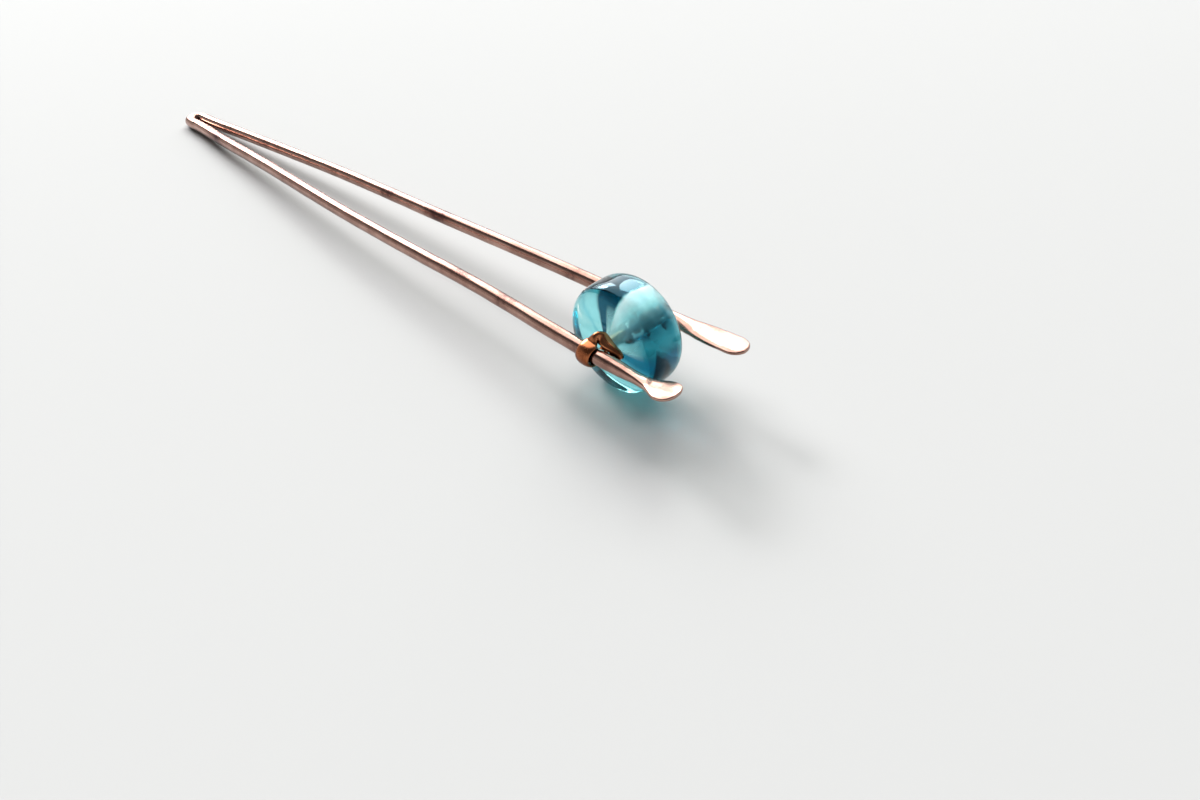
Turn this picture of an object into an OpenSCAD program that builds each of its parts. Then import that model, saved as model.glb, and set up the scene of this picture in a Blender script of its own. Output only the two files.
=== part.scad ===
/* [Fork wire] */
// Diameter of the heavy copper wire that is folded into the fork
wire_d = 2.05; // [1.8:0.05:2.3]
// Length of the fork from the outside of its bend to the paddle tips
fork_len = 130; // [128:1:134]
// Distance from the outside of the bend to the middle of the bead
bead_at = 116.3; // [114:0.1:118]
// Radius of the bend's centre line
bend_r = 1.25; // [1.2:0.05:1.5]

/* [Paddles] */
// Width of each hammered paddle near its tip
paddle_w = 4.1; // [3:0.05:4.2]
// Thickness of each paddle at its tip
paddle_t = 0.8; // [0.6:0.1:1.2]
// Length over which each prong is hammered, where the binding wire leaves room for it
hammered_len = 11; // [9:0.5:11]
// Length of the rounded end of each paddle
tip_round = 2; // [1.5:0.1:3]
// Height by which the short paddle turns up at its tip
short_rise = 0.8; // [0:0.1:1.5]

/* [Bead] */
// Diameter of the glass bead
bead_d = 15.2; // [14:0.1:16]
// Thickness of the bead along its hole
bead_t = 7.1; // [6.6:0.1:7.6]
// Radius that rounds the bead's rim
rim_r = 2.6; // [1.8:0.1:2.8]
// Diameter of the hole through the bead
hole_d = 1.5; // [1.45:0.05:1.8]
// Depth of the countersink at each end of the hole
sink = 0.6; // [0.5:0.05:0.8]

/* [Binding wire] */
// Diameter of the thinner wire that holds the bead
bind_d = 1.25; // [1.1:0.05:1.3]
// Share of its thickness that the wire loses where it is pinched onto a prong
pinch = 0.44; // [0:0.02:0.46]
// Gap left between the binding wire and what it touches
gap = 0.06; // [0.04:0.01:0.1]
// Radius of the binding wire's turn out of the hole
exit_r = 0.9; // [0.85:0.05:1]

/* [Hidden] */
$fn = 96;

wire_r = wire_d / 2;
bind_r = bind_d / 2;
bead_r = bead_d / 2;
// Distance from the middle plane to the near prong's axis at the bead
spread = bead_t / 2 + bind_d + wire_r + 2 * gap;
// The fork leans up from its bend to the height of the bead's hole
lean = asin((bead_r - wire_r) / (bead_at - wire_r));
start_x = -fork_len * cos(lean) / 2;
up_normal = [-sin(lean), 0, cos(lean)];
// The prongs stay round for this far past the bead's hole, under the binding wire
wrap_room = 2.7;
hammered = min(hammered_len, fork_len - bead_at - wrap_room);

// Each prong's bow. Columns: share of the way from the bend to the bead, then the
// near and the far prong's distance from the middle line as a share of the spread
BOW = [
    // way,  near,  far
    [0.138, 0.318, 0.365],
    [0.275, 0.422, 0.565],
    [0.387, 0.548, 0.712],
    [0.499, 0.668, 0.800],
    [0.602, 0.735, 0.857],
    [0.688, 0.766, 0.925],
    [0.774, 0.784, 0.993],
    [0.860, 0.855, 1.048],
    [0.929, 0.942, 1.062],
    [1.000, 1.000, 1.068],
    [1.049, 1.025, 1.092],
    [1.077, 1.045, 1.118],
    [1.096, 1.050, 1.138],
    [1.118, 1.035, 1.160],
];
way_col = 0;
near_col = 1;
far_col = 2;
bend_way = (wire_r + bend_r) / bead_at;

// Hammering. Columns: distance from the tip as a share of the hammered length, then
// how wide and how thin the short and the long paddle are, from 0 on round wire to 1
HAMMERED = [
    // back, short wide, short thin, long wide, long thin
    [0.00,   1.00, 1.00,   0.84, 1.00],
    [0.13,   1.00, 1.00,   0.88, 1.00],
    [0.21,   0.88, 0.98,   0.88, 1.00],
    [0.29,   0.50, 0.92,   0.88, 1.00],
    [0.38,   0.06, 0.82,   0.85, 0.98],
    [0.49,  -0.16, 0.68,   0.78, 0.93],
    [0.63,  -0.20, 0.45,   0.60, 0.75],
    [0.80,  -0.10, 0.18,   0.25, 0.36],
    [1.00,   0.00, 0.00,   0.00, 0.00],
];
back_col = 0;
short_col = 1;
long_col = 3;

// Binding wire's wrap round one prong, past its turn out of the hole. Columns:
// degrees round the prong from its bead side, going under it; how far the wire
// stands off the prong; distance past the hole towards the tips; how much of the
// pinch it has taken, below 0 where it is nipped from its sides instead
WRAP = [
    // turn, off,  past,  pinched
    [40,  0.12, -0.05, 0],
    [56,  0.08, -0.18, 0.2],
    [73,  0.03, -0.34, 0.5],
    [92,  0,    -0.48, 0.8],
    [120, 0,    -0.60, 1],
    [150, 0,    -0.64, 1],
    [180, 0,    -0.62, 1],
    [212, 0,    -0.55, 1],
    [240, 0,    -0.48, 1],
    [262, 0,    -0.46, 1],
    [278, 0.06, -0.42, 0.7],
    [289, 0.28, -0.31, -0.3],
    [298, 0.42, -0.04, -0.8],
    [307, 0.26,  0.44, -0.9],
    [316, 0.08,  1.00, -0.7],
    [326, 0.02,  1.62, -0.3],
    [338, 0,     2.20, 0],
    [351, 0,     2.60, 0],
    [366, 0,     2.85, 0],
];
turn_col = 0;
off_col = 1;
past_col = 2;
pinched_col = 3;

// Smooth curve through a table: slopes are those of the neighbours' chord
function slope(t, k, c, i) =
    let (a = max(i - 1, 0), b = min(i + 1, len(t) - 1))
    (t[b][c] - t[a][c]) / (t[b][k] - t[a][k]);
function hermite(y0, y1, m0, m1, h, u) =
    y0 * (2 * u * u * u - 3 * u * u + 1) + m0 * h * (u * u * u - 2 * u * u + u)
    + y1 * (3 * u * u - 2 * u * u * u) + m1 * h * (u * u * u - u * u);
function row_of(t, k, x, i = 0) =
    i >= len(t) - 2 || x < t[i + 1][k] ? i : row_of(t, k, x, i + 1);
function curve(t, k, c, x) =
    let (i = row_of(t, k, x), h = t[i + 1][k] - t[i][k])
    hermite(t[i][c], t[i + 1][c], slope(t, k, c, i), slope(t, k, c, i + 1), h,
        (x - t[i][k]) / h);

// Distance of a prong from the middle line, at a distance from the bend.
// The prongs leave the bend side by side and then open
function opening(x, c) =
    let (way = x / bead_at, first = BOW[0])
    way <= bend_way ? bend_r
    : way < first[way_col]
        ? hermite(bend_r, first[c] * spread, 0, slope(BOW, way_col, c, 0) * spread,
            first[way_col] - bend_way, (way - bend_way) / (first[way_col] - bend_way))
        : curve(BOW, way_col, c, way) * spread;

// A point of the fork's plane, which leans up from the bend
function leaned(x, y) = [
    start_x + wire_r + (x - wire_r) * cos(lean),
    y,
    wire_r + (x - wire_r) * sin(lean)
];
// The near prong, whose side is -1, turns up over the last part of its hammering
rise_share = 0.75;
function rise(x, side) =
    let (from = fork_len - hammered * rise_share)
    side > 0 || x < from ? 0 : short_rise * pow((x - from) / (fork_len - from), 2);
function prong(x, side) =
    leaned(x, side * opening(x, side < 0 ? near_col : far_col)) + up_normal * rise(x, side);

// Solid skin over a list of rings, wound so that it faces outwards
module skin(rings) {
    n = len(rings[0]);
    last = len(rings) - 1;
    points = [for (r = rings, p = r) p];
    walls = [for (i = [0:last - 1], k = [0:n - 1])
        [i * n + k, i * n + (k + 1) % n, (i + 1) * n + (k + 1) % n, (i + 1) * n + k]];
    first_cap = [for (k = [n - 1:-1:0]) k];
    last_cap = [for (k = [0:n - 1]) last * n + k];
    polyhedron(points = points, faces = concat(walls, [first_cap, last_cap]), convexity = 8);
}

// One ring of the fork wire: round, and squarer where it is hammered thin
fork_sides = 24;
squareness = 0.3;
function rounded_power(v, e) = sign(v) * pow(abs(v), e);
function fork_ring(centre, side, half_w, half_t, thin) = [
    for (k = [0:fork_sides - 1])
        let (a = k * 360 / fork_sides, e = 1 - squareness * thin)
        centre + side * half_w * rounded_power(cos(a), e)
            + up_normal * half_t * rounded_power(sin(a), e)
];

// Share of the full width at a distance from the tip, where the end is rounded off
tip_power = 2.6;
tip_flat = 0.1;
function rounding(back) =
    back >= tip_round ? 1
    : pow(1 - pow(1 - (back + tip_flat) / (tip_round + tip_flat), tip_power), 1 / tip_power);

function prong_ring(x, side) =
    let (step = 0.05,
        ahead = prong(min(x + step, fork_len), side) - prong(min(x, fork_len - step), side),
        across = cross(up_normal, ahead / norm(ahead)),
        c = side < 0 ? short_col : long_col,
        back = fork_len - x,
        wide = back >= hammered ? 0 : curve(HAMMERED, back_col, c, back / hammered),
        thin = back >= hammered ? 0 : curve(HAMMERED, back_col, c + 1, back / hammered),
        round_off = rounding(back))
    fork_ring(prong(x, side), side < 0 ? across : -across,
        (wire_r + (paddle_w / 2 - wire_r) * wide) * round_off,
        (wire_r + (paddle_t / 2 - wire_r) * thin) * (1 + round_off) / 2, thin);

// The bend's rings run round its centre from the near prong to the far one
function bend_ring(a) =
    let (out = [-sin(a), cos(a)],
        middle = leaned(wire_r + bend_r, 0),
        c = leaned(wire_r + bend_r + bend_r * out[0], bend_r * out[1]))
    fork_ring(c, (middle - c) / bend_r, wire_r, wire_r, 0);

// Rings stand close together near the tip and further apart along the prong
paddle_rings = 18;
prong_rings = 32;
bend_steps = 12;
crowding = 1.6;
ring_places = concat(
    [for (i = [0:paddle_rings - 1]) fork_len - hammered * pow(i / paddle_rings, crowding)],
    [for (i = [0:prong_rings - 1])
        let (from = fork_len - hammered, to = wire_r + bend_r)
        from + (to - from) * i / prong_rings]
);

module fork_wire() {
    near = [for (x = ring_places) prong_ring(x, -1)];
    far = [for (x = ring_places) prong_ring(x, 1)];
    bend = [for (i = [0:bend_steps]) bend_ring(180 - 180 * i / bend_steps)];
    color("peru")
    skin(concat(near, bend, [for (i = [len(far) - 1:-1:0]) far[i]]));
}

// Half of the bead's section: rounded rim corners and a narrow flat tread
module bead_section() {
    half_t = bead_t / 2;
    flat_r = bead_r - rim_r;
    translate([0, -half_t]) square([flat_r, bead_t]);
    translate([0, rim_r - half_t]) square([bead_r, bead_t - 2 * rim_r]);
    for (s = [-1, 1])
        translate([flat_r, s * (half_t - rim_r)])
        intersection() {
            circle(rim_r);
            translate([0, s < 0 ? -rim_r : 0]) square(rim_r);
        }
}

module bead() {
    through = bead_t + 2;
    color("mediumturquoise")
    translate([leaned(bead_at, 0)[0], 0, bead_r])
    rotate([90, 0, 0])
    difference() {
        rotate_extrude() bead_section();
        cylinder(d = hole_d, h = through, center = true);
        for (s = [0, 1])
            mirror([0, 0, s])
            translate([0, 0, bead_t / 2 - sink])
            cylinder(r1 = hole_d / 2, r2 = hole_d / 2 + 2 * sink, h = 2 * sink);
    }
}

// Where the wire is pinched it spreads sideways by as much as it gets thinner
function half_thick(pinched) = bind_r * (1 - pinch * pinched);
function half_wide(pinched) = bind_r / (1 - pinch * pinched);

// A stop on the wire: its centre, and how much of the pinch it has taken. The wrap is
// set out from the axis of the prong that it goes round, and both wraps are alike
function wrap_stop(turn, side) =
    let (pinched = curve(WRAP, turn_col, pinched_col, turn),
        reach = wire_r + gap + half_thick(pinched) + curve(WRAP, turn_col, off_col, turn),
        past = curve(WRAP, turn_col, past_col, turn))
    [prong(bead_at + past, side) + [0, -side * cos(turn) * reach, -sin(turn) * reach], pinched];
function exit_stop(a, side) =
    let (inward = wire_r + gap + bind_r + exit_r * (1 - sin(a)))
    [prong(bead_at, side) + [0, -side * inward, -exit_r * (1 - cos(a))], 0];

exit_step = 15;
wrap_steps = 46;
function stops(side) = concat(
    [for (a = [0:exit_step:90]) exit_stop(a, side)],
    [for (i = [0:wrap_steps])
        let (from = WRAP[0][turn_col], to = WRAP[len(WRAP) - 1][turn_col])
        wrap_stop(from + (to - from) * i / wrap_steps, side)]
);

// Each ring's width lies along the prongs, as far as the wire's direction lets it
bind_sides = 14;
function bind_ring(path, i) =
    let (ahead = path[min(i + 1, len(path) - 1)][0] - path[max(i - 1, 0)][0],
        t = ahead / norm(ahead),
        lengthwise = [1, 0, 0] - t * t[0],
        across = lengthwise / norm(lengthwise),
        pinched = path[i][1])
    [for (k = [0:bind_sides - 1])
        let (a = -k * 360 / bind_sides)
        path[i][0] + across * half_wide(pinched) * cos(a)
            + cross(t, across) * half_thick(pinched) * sin(a)];

module binding_wire() {
    near = stops(-1);
    path = concat([for (i = [len(near) - 1:-1:0]) near[i]], stops(1));
    color("chocolate") skin([for (i = [0:len(path) - 1]) bind_ring(path, i)]);
}

fork_wire();
bead();
binding_wire();
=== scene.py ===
"""Looks of a hair fork: one copper wire folded double, its two ends hammered into flat
paddles, and an aqua glass bead held between the prongs by a thinner binding wire."""
import math

import bmesh
import bpy
import numpy as np
from mathutils import Matrix, Vector


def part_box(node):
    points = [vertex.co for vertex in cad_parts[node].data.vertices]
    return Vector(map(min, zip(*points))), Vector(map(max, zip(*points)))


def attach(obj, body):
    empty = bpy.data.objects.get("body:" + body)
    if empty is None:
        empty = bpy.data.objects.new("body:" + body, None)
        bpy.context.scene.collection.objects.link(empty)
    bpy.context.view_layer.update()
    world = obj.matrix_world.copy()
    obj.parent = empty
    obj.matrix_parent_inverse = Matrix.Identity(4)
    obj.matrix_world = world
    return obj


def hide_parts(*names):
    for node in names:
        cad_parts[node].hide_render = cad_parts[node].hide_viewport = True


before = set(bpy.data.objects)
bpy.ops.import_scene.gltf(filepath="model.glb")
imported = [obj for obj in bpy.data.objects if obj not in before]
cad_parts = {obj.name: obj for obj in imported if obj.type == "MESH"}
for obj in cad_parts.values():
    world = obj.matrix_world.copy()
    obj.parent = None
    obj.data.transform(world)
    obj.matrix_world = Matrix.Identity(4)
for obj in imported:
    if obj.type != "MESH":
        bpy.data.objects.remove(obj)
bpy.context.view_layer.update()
MM = 0.001
SEED = 7

# Camera: the photograph's view of the fork, in a frame of 1200 x 800 pixels
FRAME_W = 1200
SENSOR_MM = 36
FOCAL_PX = 935.2
CAMERA_MM = (115.2, -71.0, 78.4)
YAW, PITCH, ROLL = 45.975, 40.603, 0.164
CLIP = (0.005, 20)

# Sides of the rings that the CAD solids are skinned over, and of the finer rings here
FORK_SIDES = 24
BIND_SIDES = 14
FINE_FORK_SIDES = 48
FINE_BIND_SIDES = 42

# Points of a CAD skin that are nearer than this are one, and faces whose normals agree
# this well lie in one plane
WELD = 0.004 * MM
SAME_PLANE = 0.99999

# Distance between rings on the plain prongs, on the paddles and the bend, and on the
# binding wire. It grows from the fine one to the coarse one by a share of the way, and
# the bend's fine rings reach this far to both sides
PRONG_STEP = 0.6 * MM
FINE_STEP = 0.1 * MM
BIND_STEP = 0.16 * MM
STEP_GROWTH = 0.3
BEND_REACH = 3 * MM

# Rounded ends of both wires: how far they stand out, and their rings
END_REACH = 0.08 * MM
END_RINGS = (
    # width, reach, as shares of the last ring's width and of END_REACH
    (0.96, 0.45),
    (0.87, 0.8),
    (0.7, 0.95),
    (0.35, 1),
)

# Unevenness of the hand-worked wires: its depth and the usual length of its waves. Each
# wave is half to twice as long and runs round the wire with none, one or two swells
WAVE_COUNT = 6
FORK_WAVES = (0.02 * MM, 6 * MM)
BIND_WAVES = (0.015 * MM, 2.5 * MM)

# Hammer marks: the length of each paddle, the strokes on each, and how wide and deep they
# are. A stroke counts where the surface looks up or down at least this much, and it dents
# the points whose normals agree this much with the one that it hits
PADDLE_LEN = 11 * MM
DENT_COUNT = 26
DENT_RADIUS = (0.75 * MM, 1.25 * MM)
DENT_DEPTH = (0.018 * MM, 0.04 * MM)
DENT_FACING = 0.5
DENT_SAME_SIDE = 0.3

# Bead: how square its section is, the radius of its hole, the depth of its countersink
# and the width of the lip round it. Faces within the hole's radius and this small margin
# are its rough wall
BEAD_POWER = 4.2
HOLE_R = 0.75 * MM
SINK = 0.6 * MM
LIP = 0.12 * MM
HOLE_SKIN = 0.05 * MM

# Points of the bead's section: how many along the hole, at which shares of the
# countersink, and how many from the lip to the rim. The section is set this many times
# round the hole
HOLE_POINTS = 8
SINK_POINTS = (0.33, 0.66, 0.9)
FACE_POINTS = 60
BEAD_TURNS = 160

# Glass: how it bends light, the colour that deepens with its thickness and how fast, its
# colour where it has no painted sectors, the tint of its reflections, and how deep light goes
# into the milky part
GLASS_IOR = 1.52
GLASS_DEPTH_COLOUR = (0.08, 0.82, 0.88, 1)
GLASS_DENSITY = 115.0
GLASS_CLEAR = (0.85, 1, 1, 1)
GLINT = (0.25, 0.75, 1, 1)
MILK_DEPTH = 12 * MM

# Painted light and shade in the glass, in two tables: close to the hole and out at the rim.
# The dark sectors are painted shade, dark glass where the bead shows only shade through it,
# and the pale milky ones are painted light, standing in for light gathered in the glass.
# One blends into the other between the two distances from the hole's axis that follow the
# tables. Along the hole, from the bead's middle towards +Y, both fade into clear glass
# between the two of FAR_HALF. Columns: turn round the hole in degrees from +X towards +Z,
# colour, and how clear the glass is there, from 0, milky, to 1
# The darkest glass colour, used for sectors of painted shade.
PAINTED_SHADE_DARK = (0.0001, 0.01, 0.025)
PALE = (0.7, 0.99, 1.0)
LOWER_LIGHT_SHADE = (
    (-180, PALE, 1),
    (-120, (0.3, 0.75, 0.8), 1),
    (-80, (0.6, 1, 1), 1),
    (-48, (0.5, 0.9, 0.95), 1),
    # From -30 degrees on, the darker glass is painted shade.
    (-30, (0.12, 0.55, 0.7), 1),
    (-16, (0.01, 0.15, 0.26), 1),
    (-7, (0, 0.04, 0.1), 1),
)
BENDWARD_SECTORS = (
    (112, PALE, 1),
    (128, PALE, 1),
    (136, (0.3, 0.7, 0.8), 1),
    (148, PALE, 1),
    (180, PALE, 1),
)
LIGHT_SHADE_NEAR_HOLE = (
    *LOWER_LIGHT_SHADE,
    # This dark sector is painted shade as well.
    (4, (0, 0.06, 0.13), 1),
    (14, (0.8, 0.98, 0.99), 0.85),
    (36, (0.5, 0.82, 0.86), 0.7),
    (50, (0.55, 0.94, 0.96), 0.5),
    # Pale milky glass from 50 to 90 degrees is painted light, standing in for a bright patch of
    # light in the bead.
    (70, (0.66, 1, 1), 0.3),
    (90, (0.7, 1, 1), 0.3),
    # The darkest sector, 94 to 108 degrees, is painted shade.
    (94, PAINTED_SHADE_DARK, 1),
    (108, PAINTED_SHADE_DARK, 1),
    *BENDWARD_SECTORS,
)
LIGHT_SHADE_AT_RIM = (
    *LOWER_LIGHT_SHADE,
    # Darker glass from 4 to 48 degrees is painted shade.
    (4, (0, 0.04, 0.1), 1),
    (11, (0, 0.06, 0.1), 1),
    (20, (0.05, 0.24, 0.3), 0.85),
    (28, (0.05, 0.26, 0.33), 0.8),
    (36, (0.02, 0.1, 0.15), 0.75),
    (48, (0.12, 0.36, 0.43), 0.45),
    # Pale milky glass from 62 to 77 degrees is painted light.
    (62, (0.5, 0.93, 0.96), 0.3),
    (77, (0.7, 1, 1), 0.25),
    # The darkest sector, 80 to 107 degrees, is painted shade.
    (80, PAINTED_SHADE_DARK, 1),
    (107, PAINTED_SHADE_DARK, 1),
    *BENDWARD_SECTORS,
)
SECTOR_BLEND = (1.5 * MM, 6 * MM)
FAR_HALF = (1 * MM, 3 * MM)

# How far noise pushes the edges of the painted light and shade, as a share of a whole turn,
# and how fine its streaks, its wisps and the clouds in the colour are
SECTOR_WARP = 0.028
STREAK_SCALE = 5.0
WISP_SCALE = 320.0
CLOUD_SCALE = 650.0

# Copper: how fine its tarnish and its pits are, how far its drawn lines are stretched, how
# deep lines and pits are, and how near another surface must be for its painted shade to darken it
PATCH_SCALE = 160.0
GRAIN_SCALE = 2600.0
LINE_STRETCH = 0.12
LINE_DEPTH = 0.012 * MM
GRAIN_DEPTH = 0.01 * MM
PAINTED_SHADE_REACH = 0.9 * MM

# The floor: from its middle to its edge, in metres, and its colour
FLOOR_HALF = 2.2
FLOOR_COLOUR = (0.465, 0.464, 0.463, 1)

# The room: pale near the floor's edge and dim higher up, and the heights between which it
# fades, as the sine of the angle above the floor
ROOM_LOW = (0.6, 0.6, 0.6)
ROOM_HIGH = (0.1, 0.099, 0.098)
ROOM_FADE = (0.2, 0.45)

WHITE = (1, 1, 1)
LIGHTS = (
    # name, azimuths, elevations, distance in metres, brightness of its face, colour
    ("window", (142, 186), (19, 35), 2.4, 9.5, WHITE),
    ("sun_side", (160, 176), (25, 35), 2.2, 38, WHITE),
    ("side_window", (111, 137), (28, 52), 2.4, 9.5, (0.94, 1, 0.95)),
    ("pale_wall", (92, 190), (8, 84), 3.5, 3.1, WHITE),
    ("ceiling", (0, 90), (70, 110), 2.4, 0.6, WHITE),
)


def add_camera():
    """Stands the camera where the photograph was taken from."""
    yaw, pitch, roll = (math.radians(a) for a in (YAW, PITCH, ROLL))
    forward = Vector((-math.cos(yaw) * math.cos(pitch), math.sin(yaw) * math.cos(pitch),
                      -math.sin(pitch)))
    level = Vector((math.sin(yaw), math.cos(yaw), 0))
    down = forward.cross(level)
    right = level * math.cos(roll) + down * math.sin(roll)
    up = level * math.sin(roll) - down * math.cos(roll)
    data = bpy.data.cameras.new("camera")
    data.sensor_width = SENSOR_MM
    data.lens = FOCAL_PX * SENSOR_MM / FRAME_W
    data.clip_start, data.clip_end = CLIP
    camera = bpy.data.objects.new("camera", data)
    camera.matrix_world = Matrix.Translation(Vector(CAMERA_MM) * MM) @ Matrix(
        (right, up, -forward)).transposed().to_4x4()
    bpy.context.collection.objects.link(camera)
    bpy.context.scene.camera = camera


def flat_groups(bm, count):
    """The groups of that many joined faces that lie in one plane: the ends of a skin."""
    found = []
    seen = set()
    for first in bm.faces:
        if first in seen:
            continue
        group = [first]
        seen.add(first)
        for f in group:
            for e in f.edges:
                for g in e.link_faces:
                    if g not in seen and g.normal.dot(first.normal) > SAME_PLANE:
                        seen.add(g)
                        group.append(g)
        if len(group) == count:
            found.append(group)
    return found


def walk_round(ring):
    """One ring's vertices in order. Lines across a flat end aren't part of its ring."""
    inside = set(ring)

    def next_to(v):
        return sorted((e.other_vert(v) for e in v.link_edges
                       if e.other_vert(v) in inside
                       and not all(set(f.verts) <= inside for f in e.link_faces)),
                      key=lambda w: w.index)

    start = min(ring, key=lambda v: v.index)
    walk = [start, next_to(start)[0]]
    while len(walk) < len(ring):
        walk.append(next(w for w in next_to(walk[-1]) if w is not walk[-2]))
    return np.array([v.co for v in walk])


def lined_up(ring, before):
    """The ring turned and, if need be, reversed, so that each point follows the one before."""
    turns = [np.roll(r, k, axis=0) for r in (ring, ring[::-1]) for k in range(len(ring))]
    return min(turns, key=lambda r: float(((r - before) ** 2).sum()))


def rings_of(node, sides):
    """The rings that a CAD solid was skinned over, in order along it from its near end."""
    bm = bmesh.new()
    bm.from_mesh(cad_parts[node].data)
    bmesh.ops.remove_doubles(bm, verts=bm.verts, dist=WELD)
    bm.verts.index_update()
    bm.normal_update()
    end = min(flat_groups(bm, sides - 2), key=lambda g: g[0].calc_center_median().y)
    ring = {v for f in end for v in f.verts}
    seen = set()
    rings = []
    while ring:
        points = walk_round(ring)
        rings.append(lined_up(points, rings[-1]) if rings else points)
        seen |= ring
        ring = {e.other_vert(v) for v in ring for e in v.link_edges} - seen
    bm.free()
    return np.array(rings)


def smooth(t, rows, at):
    """Cubic curves through rows, which are known at the rising places t, read at the places at."""
    slopes = np.gradient(rows, t, axis=0)
    i = np.clip(np.searchsorted(t, at, side="right") - 1, 0, len(t) - 2)
    wide = (1,) * (rows.ndim - 1)
    h = (t[i + 1] - t[i]).reshape(-1, *wide)
    u = ((at - t[i]) / (t[i + 1] - t[i])).reshape(-1, *wide)
    return (rows[i] * (2 * u ** 3 - 3 * u ** 2 + 1) + slopes[i] * h * (u ** 3 - 2 * u ** 2 + u)
            + rows[i + 1] * (3 * u ** 2 - 2 * u ** 3) + slopes[i + 1] * h * (u ** 3 - u ** 2))


def finer_round(rings, sides):
    """The same rings with more points round each."""
    n = rings.shape[1]
    pad = 3
    closed = np.concatenate([rings[:, -pad:], rings, rings[:, :pad]], axis=1).swapaxes(0, 1)
    t = np.arange(-pad, n + pad) / n
    return smooth(t, closed, np.arange(sides) / sides).swapaxes(0, 1)


def stations(length, coarse, fine, fine_spans):
    """Places along a length, a fine step apart inside the spans and a coarse one outside."""
    places = [0.0]
    while places[-1] < length:
        s = places[-1]
        near = min(max(a - s, s - b, 0) for a, b in fine_spans)
        places.append(s + min(coarse, fine + near * STEP_GROWTH))
    places = np.array(places)
    return places * (length / places[-1])


def lengths_along(rings):
    """How far along its centre line each ring lies."""
    middles = rings.mean(axis=1)
    steps = np.linalg.norm(np.diff(middles, axis=0), axis=1)
    return np.concatenate([[0], np.cumsum(steps)])


def outward(rings):
    """Unit vectors from each ring's middle to its points."""
    out = rings - rings.mean(axis=1, keepdims=True)
    return out / np.linalg.norm(out, axis=2, keepdims=True)


def normals(rings):
    """Unit normals of a tube of rings, taken from its neighbouring points."""
    along = np.gradient(rings, axis=0)
    around = np.roll(rings, -1, axis=1) - np.roll(rings, 1, axis=1)
    n = np.cross(along, around)
    n /= np.linalg.norm(n, axis=2, keepdims=True)
    flip = np.sign((n * outward(rings)).sum(axis=2).mean())
    return n * flip


def wavy(rings, places, size, period, rng):
    """A hand-worked wire isn't quite even: its surface swells and dips a little."""
    n = normals(rings)
    moved = np.zeros(rings.shape[:2])
    turn = 2 * math.pi * np.arange(rings.shape[1]) / rings.shape[1]
    for _ in range(WAVE_COUNT):
        wave = period * rng.uniform(0.5, 2)
        lobes = rng.integers(0, 3)
        phase, phase_round = rng.uniform(0, 2 * math.pi, 2)
        lengthwise = np.sin(2 * math.pi * places / wave + phase)
        moved += lengthwise[:, None] * np.cos(lobes * turn + phase_round) / WAVE_COUNT
    return rings + n * (moved * size)[..., None]


def dented(rings, places, rng):
    """Shallow hammer marks on both faces of the two paddles."""
    length = places[-1]
    n = normals(rings)
    moved = np.zeros(rings.shape[:2])
    for from_tip in (places, length - places):
        rows = np.nonzero(from_tip < PADDLE_LEN)[0]
        patch = rings[rows]
        for _ in range(DENT_COUNT):
            row = rows[rng.integers(len(rows))]
            side = rng.integers(rings.shape[1])
            centre = rings[row, side]
            facing = n[row, side]
            radius = rng.uniform(*DENT_RADIUS)
            depth = rng.uniform(*DENT_DEPTH)
            if abs(facing[2]) < DENT_FACING:
                continue
            d = np.linalg.norm(patch - centre, axis=2) / radius
            same = (n[rows] * facing).sum(axis=2) > DENT_SAME_SIDE
            share = np.clip(1 - d ** 2, 0, 1) ** 1.5 * same
            moved[rows] += depth * share
    return rings - n * moved[..., None]


def bridge(bm, a, b):
    """Faces between two closed rings of vertices."""
    for k in range(len(a)):
        m = (k + 1) % len(a)
        bm.faces.new((a[k], a[m], b[m], b[k]))


def smooth_mesh(bm, name):
    """The finished mesh of a closed form, shaded smooth."""
    bmesh.ops.recalc_face_normals(bm, faces=bm.faces)
    mesh = bpy.data.meshes.new(name)
    bm.to_mesh(mesh)
    bm.free()
    mesh.shade_smooth()
    return mesh


def closed_tube(name, rings, places):
    """A mesh over the rings with softly rounded ends. Each point's place along and round
    the wire, in millimetres and as a unit circle, is kept for the materials."""
    ends = []
    for tip, inner in ((rings[0], rings[1]), (rings[-1], rings[-2])):
        ahead = tip.mean(axis=0) - inner.mean(axis=0)
        ahead = ahead / np.linalg.norm(ahead)
        middle = tip.mean(axis=0)
        ends.append([middle + (tip - middle) * width + ahead * END_REACH * out
                     for width, out in END_RINGS])
    whole = np.concatenate([ends[0][::-1], rings, ends[1]])
    extra = len(END_RINGS)
    reach = np.concatenate([[places[0]] * extra, places, [places[-1]] * extra])
    sides = whole.shape[1]
    bm = bmesh.new()
    verts = [[bm.verts.new(p) for p in ring] for ring in whole]
    for a, b in zip(verts, verts[1:]):
        bridge(bm, a, b)
    for ring in (verts[0], verts[-1]):
        middle = bm.verts.new(sum((v.co for v in ring), Vector()) / sides)
        for k in range(sides):
            bm.faces.new((ring[k], ring[(k + 1) % sides], middle))
    mesh = smooth_mesh(bm, name)
    turn = np.arange(sides) / sides
    where = [(s / MM, math.cos(2 * math.pi * t), math.sin(2 * math.pi * t))
             for s in reach for t in turn]
    where += [where[0], where[-1]]
    along = mesh.attributes.new("along", "FLOAT_VECTOR", "POINT")
    along.data.foreach_set("vector", np.array(where, dtype=np.float32).ravel())
    return mesh


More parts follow.
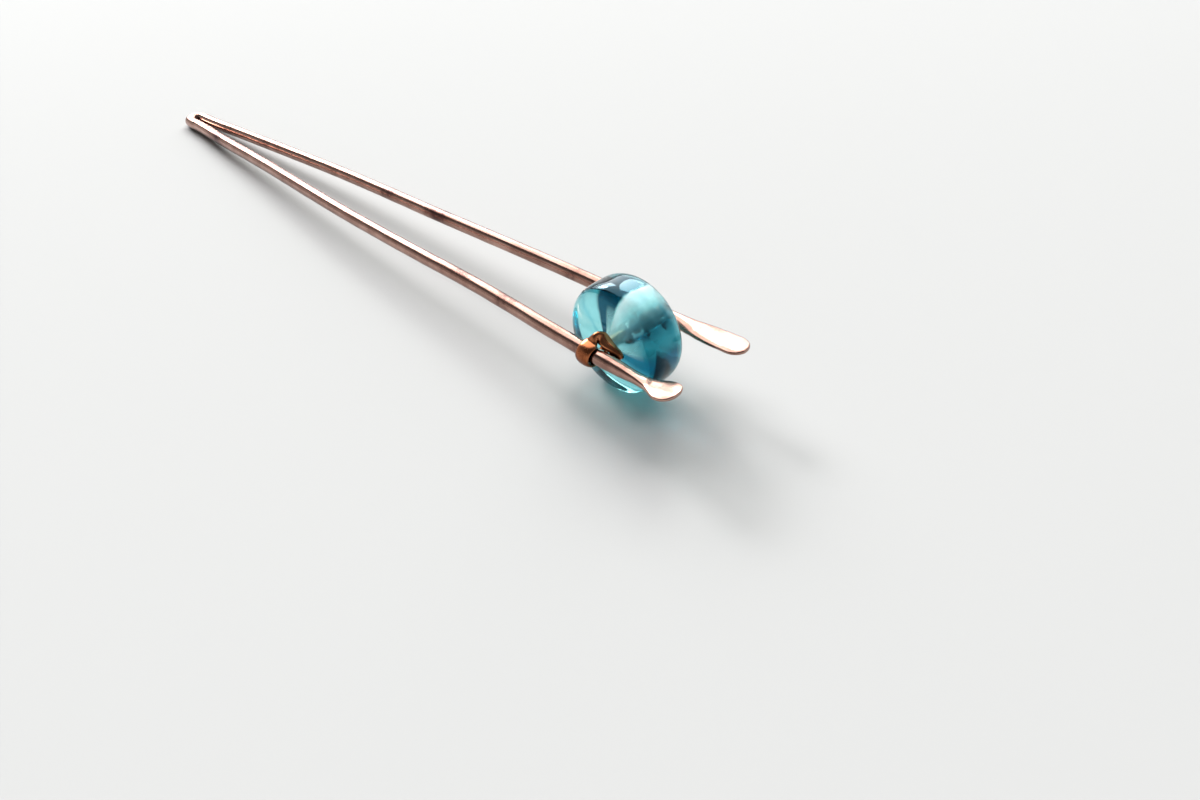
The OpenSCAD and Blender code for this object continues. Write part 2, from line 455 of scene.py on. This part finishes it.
def fork_mesh(name, rng):
    """The folded wire with its hammered paddles."""
    rings = rings_of("fork_wire", FORK_SIDES)
    reach = lengths_along(rings)
    length = reach[-1]
    middle = length / 2
    fine_spans = (
        (0, PADDLE_LEN),
        (middle - BEND_REACH, middle + BEND_REACH),
        (length - PADDLE_LEN, length),
    )
    places = stations(length, PRONG_STEP, FINE_STEP, fine_spans)
    fork = smooth(reach, finer_round(rings, FINE_FORK_SIDES), places)
    fork = wavy(fork, places, *FORK_WAVES, rng)
    fork = dented(fork, places, rng)
    return closed_tube(name, fork, places)


def binding_mesh(name, rng):
    """The thinner wire through the bead and round both prongs."""
    rings = rings_of("binding_wire", BIND_SIDES)
    reach = lengths_along(rings)
    places = stations(reach[-1], BIND_STEP, BIND_STEP, ((0, reach[-1]),))
    bind = smooth(reach, finer_round(rings, FINE_BIND_SIDES), places)
    bind = wavy(bind, places, *BIND_WAVES, rng)
    return closed_tube(name, bind, places)


def bead_profile():
    """Half of the bead's section, from the hole's middle out round the rim, as points of
    distance from the axis and place along it. Its faces are slightly crowned."""
    low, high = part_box("bead")
    half_t = (high.y - low.y) / 2
    radius = (high.z - low.z) / 2
    points = [(HOLE_R, y) for y in np.linspace(0, half_t - SINK, HOLE_POINTS)]
    points += [(HOLE_R + SINK * u, half_t - SINK + SINK * u) for u in SINK_POINTS]
    from_lip = math.acos(((HOLE_R + SINK + LIP) / radius) ** (BEAD_POWER / 2))
    points += [(radius * math.cos(a) ** (2 / BEAD_POWER), half_t * math.sin(a) ** (2 / BEAD_POWER))
               for a in np.linspace(from_lip, 0, FACE_POINTS)]
    return points


def bead_mesh(name):
    """The bead turned from its section. The faces along its hole take the second material."""
    low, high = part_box("bead")
    centre = (low + high) / 2
    half = bead_profile()
    loop = half + [(r, -y) for r, y in reversed(half[1:-1])]
    bm = bmesh.new()
    rings = []
    for i in range(BEAD_TURNS):
        a = 2 * math.pi * i / BEAD_TURNS
        rings.append([bm.verts.new(centre + Vector((r * math.cos(a), y, r * math.sin(a))))
                      for r, y in loop])
    for i in range(BEAD_TURNS):
        bridge(bm, rings[i], rings[(i + 1) % BEAD_TURNS])
    for f in bm.faces:
        middle = f.calc_center_median() - centre
        if math.hypot(middle.x, middle.z) < HOLE_R + HOLE_SKIN:
            f.material_index = 1
    return smooth_mesh(bm, name)


class Nodes:
    """Short way to write a material's nodes."""

    def __init__(self, material):
        material.use_nodes = True
        self.tree = material.node_tree
        self.tree.nodes.clear()

    def put(self, socket, value):
        """Links a socket to another one, or sets it to a constant."""
        if isinstance(value, bpy.types.NodeSocket):
            self.tree.links.new(value, socket)
        else:
            socket.default_value = value

    def add(self, kind, inputs=None, **settings):
        """A node with its settings and inputs."""
        node = self.tree.nodes.new(kind)
        for key, value in settings.items():
            setattr(node, key, value)
        for key, value in (inputs or {}).items():
            self.put(node.inputs[key], value)
        return node

    def ramp(self, value, stops):
        """A colour read from stops, each a place and a colour."""
        node = self.tree.nodes.new("ShaderNodeValToRGB")
        elements = node.color_ramp.elements
        while len(elements) < len(stops):
            elements.new(0.5)
        for element, (place, colour) in zip(elements, stops):
            element.position = place
            element.color = (*colour, 1)
        self.tree.links.new(value, node.inputs["Fac"])
        return node.outputs["Color"]

    def mix(self, factor, a, b, kind="MIX"):
        """A blend of two colours."""
        node = self.add("ShaderNodeMix", data_type="RGBA", blend_type=kind)
        for key, value in (("Factor", factor), ("A", a), ("B", b)):
            self.put(node.inputs[key], value)
        return node.outputs["Result"]


def copper(name, bright, brown, dark, smoothest, roughest, line_scale, tarnish):
    """Worked copper: drawn lines along the wire, patches of brown tarnish, fine pits, and
    painted shade that darkens it where another surface is close."""
    material = bpy.data.materials.new(name)
    n = Nodes(material)
    along = n.add("ShaderNodeAttribute", attribute_name="along").outputs["Vector"]
    place = n.add("ShaderNodeTexCoord").outputs["Object"]
    stretched = n.add("ShaderNodeMapping", {
        "Vector": along, "Scale": (LINE_STRETCH, line_scale, line_scale)}).outputs[0]
    lines = n.add("ShaderNodeTexNoise", {
        "Vector": stretched, "Scale": 1.0, "Detail": 6.0, "Roughness": 0.6}).outputs["Fac"]
    patches = n.add("ShaderNodeTexNoise", {
        "Vector": place, "Scale": PATCH_SCALE, "Detail": 5.0, "Roughness": 0.6}).outputs["Fac"]
    grain = n.add("ShaderNodeTexNoise", {
        "Vector": place, "Scale": GRAIN_SCALE, "Detail": 3.0}).outputs["Fac"]
    colour = n.ramp(patches, ((0.32, dark), (0.5 - tarnish, brown), (0.72 - tarnish, bright)))
    streak = n.ramp(lines, ((0.35, (0.8, 0.78, 0.78)), (0.62, WHITE)))
    # Painted shade: the colour darkens where another surface is close, standing in for shade in
    # creases, under the binding wire and against the bead.
    crevice_occlusion = n.add("ShaderNodeAmbientOcclusion", {"Distance": PAINTED_SHADE_REACH}, samples=16)
    painted_crevice_shade = n.ramp(crevice_occlusion.outputs["AO"], ((0.25, (0.12, 0.08, 0.07)), (0.8, WHITE)))
    painted = n.mix(1, n.mix(1, colour, streak, "MULTIPLY"), painted_crevice_shade, "MULTIPLY")
    rough = n.add("ShaderNodeMapRange", {
        "Value": patches, "From Min": 0.3, "From Max": 0.75,
        "To Min": roughest, "To Max": smoothest}).outputs["Result"]
    bump_lines = n.add("ShaderNodeBump", {
        "Height": lines, "Strength": 0.35, "Distance": LINE_DEPTH}).outputs["Normal"]
    bump = n.add("ShaderNodeBump", {
        "Height": grain, "Strength": 0.25, "Distance": GRAIN_DEPTH,
        "Normal": bump_lines}).outputs["Normal"]
    shader = n.add("ShaderNodeBsdfPrincipled", {
        "Base Color": painted, "Roughness": rough, "Normal": bump, "Metallic": 1.0})
    n.add("ShaderNodeOutputMaterial", {"Surface": shader.outputs["BSDF"]})
    return material


def light_and_shade(n, turn, radius, part):
    """One part of the tables of painted light and shade, blended from the hole out to the rim."""
    ramps = []
    for rows in (LIGHT_SHADE_NEAR_HOLE, LIGHT_SHADE_AT_RIM):
        stops = [((degrees + 180) / 360, colour if part == "colour" else (clear,) * 3)
                 for degrees, colour, clear in rows]
        ramps.append(n.ramp(turn, stops))
    return n.mix(radius, *ramps)


def glass_out(n, shader):
    """Ends a glass material. The glass's own colour deepens with its thickness."""
    body = n.add("ShaderNodeVolumeAbsorption", {
        "Color": GLASS_DEPTH_COLOUR, "Density": GLASS_DENSITY})
    n.add("ShaderNodeOutputMaterial", {
        "Surface": shader.outputs["BSDF"], "Volume": body.outputs["Volume"]})


def aqua_glass():
    """Clear aqua glass with painted light and shade over the near half of the bead: dark
    sectors of painted shade and pale milky sectors of painted light run out from the hole."""
    low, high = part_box("bead")
    material = bpy.data.materials.new("aqua_glass")
    n = Nodes(material)
    place = n.add("ShaderNodeTexCoord").outputs["Object"]
    from_middle = n.add("ShaderNodeVectorMath", {0: place, 1: tuple((low + high) / 2)},
                        operation="SUBTRACT").outputs[0]
    axes = n.add("ShaderNodeSeparateXYZ", {0: from_middle})
    turn = n.add("ShaderNodeMath", {0: axes.outputs["Z"], 1: axes.outputs["X"]},
                 operation="ARCTAN2").outputs[0]
    share = n.add("ShaderNodeMapRange", {
        "Value": turn, "From Min": -math.pi, "From Max": math.pi}).outputs[0]
    across = n.add("ShaderNodeVectorMath", {0: from_middle, 1: (1, 0, 1)},
                   operation="MULTIPLY").outputs[0]
    ray = n.add("ShaderNodeVectorMath", {0: across}, operation="NORMALIZE").outputs[0]
    distance = n.add("ShaderNodeVectorMath", {0: across}, operation="LENGTH").outputs["Value"]
    streaks = n.add("ShaderNodeTexNoise", {
        "Vector": ray, "Scale": STREAK_SCALE, "Detail": 3.0}).outputs["Fac"]
    wisps = n.add("ShaderNodeTexNoise", {
        "Vector": place, "Scale": WISP_SCALE, "Detail": 2.0}).outputs["Fac"]
    both = n.add("ShaderNodeMath", {0: streaks, 1: wisps}, operation="ADD").outputs[0]
    pushed = n.add("ShaderNodeMath", {0: both, 1: SECTOR_WARP, 2: share},
                   operation="MULTIPLY_ADD").outputs[0]
    turned = n.add("ShaderNodeMath", {0: pushed, 1: SECTOR_WARP}, operation="SUBTRACT").outputs[0]
    radius = n.add("ShaderNodeMapRange", {
        "Value": distance, "From Min": SECTOR_BLEND[0], "From Max": SECTOR_BLEND[1]}).outputs[0]
    clouds = n.add("ShaderNodeTexNoise", {
        "Vector": place, "Scale": CLOUD_SCALE, "Detail": 4.0}).outputs["Fac"]
    shade = n.ramp(clouds, ((0.38, (0.86, 0.86, 0.86)), (0.6, WHITE)))
    # The glass colour and clearness carry the painted light and shade of the sector tables.
    colour = n.mix(1, light_and_shade(n, turned, radius, "colour"), shade, "MULTIPLY")
    far_half = n.add("ShaderNodeMapRange", {
        "Value": axes.outputs["Y"], "From Min": FAR_HALF[0], "From Max": FAR_HALF[1]}).outputs[0]
    shader = n.add("ShaderNodeBsdfPrincipled", {
        "Base Color": n.mix(far_half, colour, GLASS_CLEAR),
        "Transmission Weight": n.mix(far_half, light_and_shade(n, turned, radius, "clearness"), (1, 1, 1, 1)),
        "Roughness": 0.0, "IOR": GLASS_IOR, "Specular Tint": GLINT,
        "Subsurface Weight": 1.0, "Subsurface Radius": (1, 1, 1), "Subsurface Scale": MILK_DEPTH})
    glass_out(n, shader)
    return material


def hole_glass():
    """The unpolished wall of the bead's hole: the wire inside shows only as a soft shade."""
    material = bpy.data.materials.new("hole_glass")
    n = Nodes(material)
    shader = n.add("ShaderNodeBsdfPrincipled", {
        "Base Color": (0.9, 1, 1, 1), "Roughness": 0.7, "IOR": GLASS_IOR,
        "Transmission Weight": 1.0})
    glass_out(n, shader)
    return material


def add_floor():
    """A plain pale floor, on which the fork rests."""
    material = bpy.data.materials.new("floor_paper")
    n = Nodes(material)
    shader = n.add("ShaderNodeBsdfPrincipled", {
        "Base Color": FLOOR_COLOUR, "Roughness": 0.9, "Specular IOR Level": 0.02})
    n.add("ShaderNodeOutputMaterial", {"Surface": shader.outputs["BSDF"]})
    corners = [(x * FLOOR_HALF, y * FLOOR_HALF, 0) for x, y in ((-1, -1), (1, -1), (1, 1), (-1, 1))]
    mesh = bpy.data.meshes.new("floor")
    mesh.from_pydata(corners, [], [(0, 1, 2, 3)])
    mesh.materials.append(material)
    floor = bpy.data.objects.new("floor", mesh)
    bpy.context.collection.objects.link(floor)


def soft_light(name, azimuths, elevations, distance, radiance, colour):
    """A rectangle of light that faces the middle of the fork and fills the given directions,
    in degrees from +X towards +Y and above the floor."""
    azimuth, elevation = (math.radians(sum(span) / 2) for span in (azimuths, elevations))
    away = Vector((math.cos(azimuth) * math.cos(elevation), math.sin(azimuth) * math.cos(elevation),
                   math.sin(elevation)))
    half_turn, half_rise = (math.radians((span[1] - span[0]) / 2) for span in (azimuths, elevations))
    data = bpy.data.lights.new(name, "AREA")
    data.shape = "RECTANGLE"
    data.size = 2 * distance * math.tan(half_turn) * math.cos(elevation)
    data.size_y = 2 * distance * math.tan(half_rise)
    data.energy = radiance * math.pi * data.size * data.size_y
    data.color = colour
    light = bpy.data.objects.new(name, data)
    facing = away.to_track_quat("Z", "Y").to_matrix().to_4x4()
    light.matrix_world = Matrix.Translation(away * distance) @ facing
    bpy.context.collection.objects.link(light)


def add_lights():
    """Two windows beyond the fork's bend, the sunlit part of one, the pale wall round them,
    a faint ceiling and a dim room."""
    world = bpy.data.worlds.new("room")
    n = Nodes(world)
    towards = n.add("ShaderNodeSeparateXYZ", {0: n.add("ShaderNodeTexCoord").outputs["Generated"]})
    room = n.ramp(towards.outputs["Z"], (
        (0, ROOM_LOW), (ROOM_FADE[0], ROOM_LOW), (ROOM_FADE[1], ROOM_HIGH)))
    background = n.add("ShaderNodeBackground", {"Color": room, "Strength": 1.0})
    n.add("ShaderNodeOutputWorld", {"Surface": background.outputs["Background"]})
    bpy.context.scene.world = world
    for row in LIGHTS:
        soft_light(*row)


def add_piece(mesh, material, node):
    """Puts a piece in the scene in place of its CAD node."""
    piece = bpy.data.objects.new(mesh.name, mesh)
    mesh.materials.append(material)
    bpy.context.collection.objects.link(piece)
    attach(piece, "root")
    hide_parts(node)
    return piece


def add_pieces():
    """The two wires and the bead."""
    rng = np.random.default_rng(SEED)
    fork_copper = copper(
        "fork_copper", bright=(0.53, 0.33, 0.27), brown=(0.33, 0.185, 0.145),
        dark=(0.12, 0.056, 0.05), smoothest=0.12, roughest=0.26, line_scale=3.0, tarnish=0.08)
    add_piece(fork_mesh("copper_fork", rng), fork_copper, "fork_wire")

    binding_copper = copper(
        "binding_copper", bright=(0.62, 0.25, 0.115), brown=(0.36, 0.115, 0.045),
        dark=(0.1, 0.03, 0.014), smoothest=0.17, roughest=0.32, line_scale=3.5, tarnish=0.05)
    add_piece(binding_mesh("copper_binding", rng), binding_copper, "binding_wire")

    bead = add_piece(bead_mesh("glass_bead"), aqua_glass(), "bead")
    bead.data.materials.append(hole_glass())


add_camera()
add_floor()
add_lights()
add_pieces()
bpy.context.scene.view_settings.view_transform = "Standard"

bpy.context.view_layer.update()
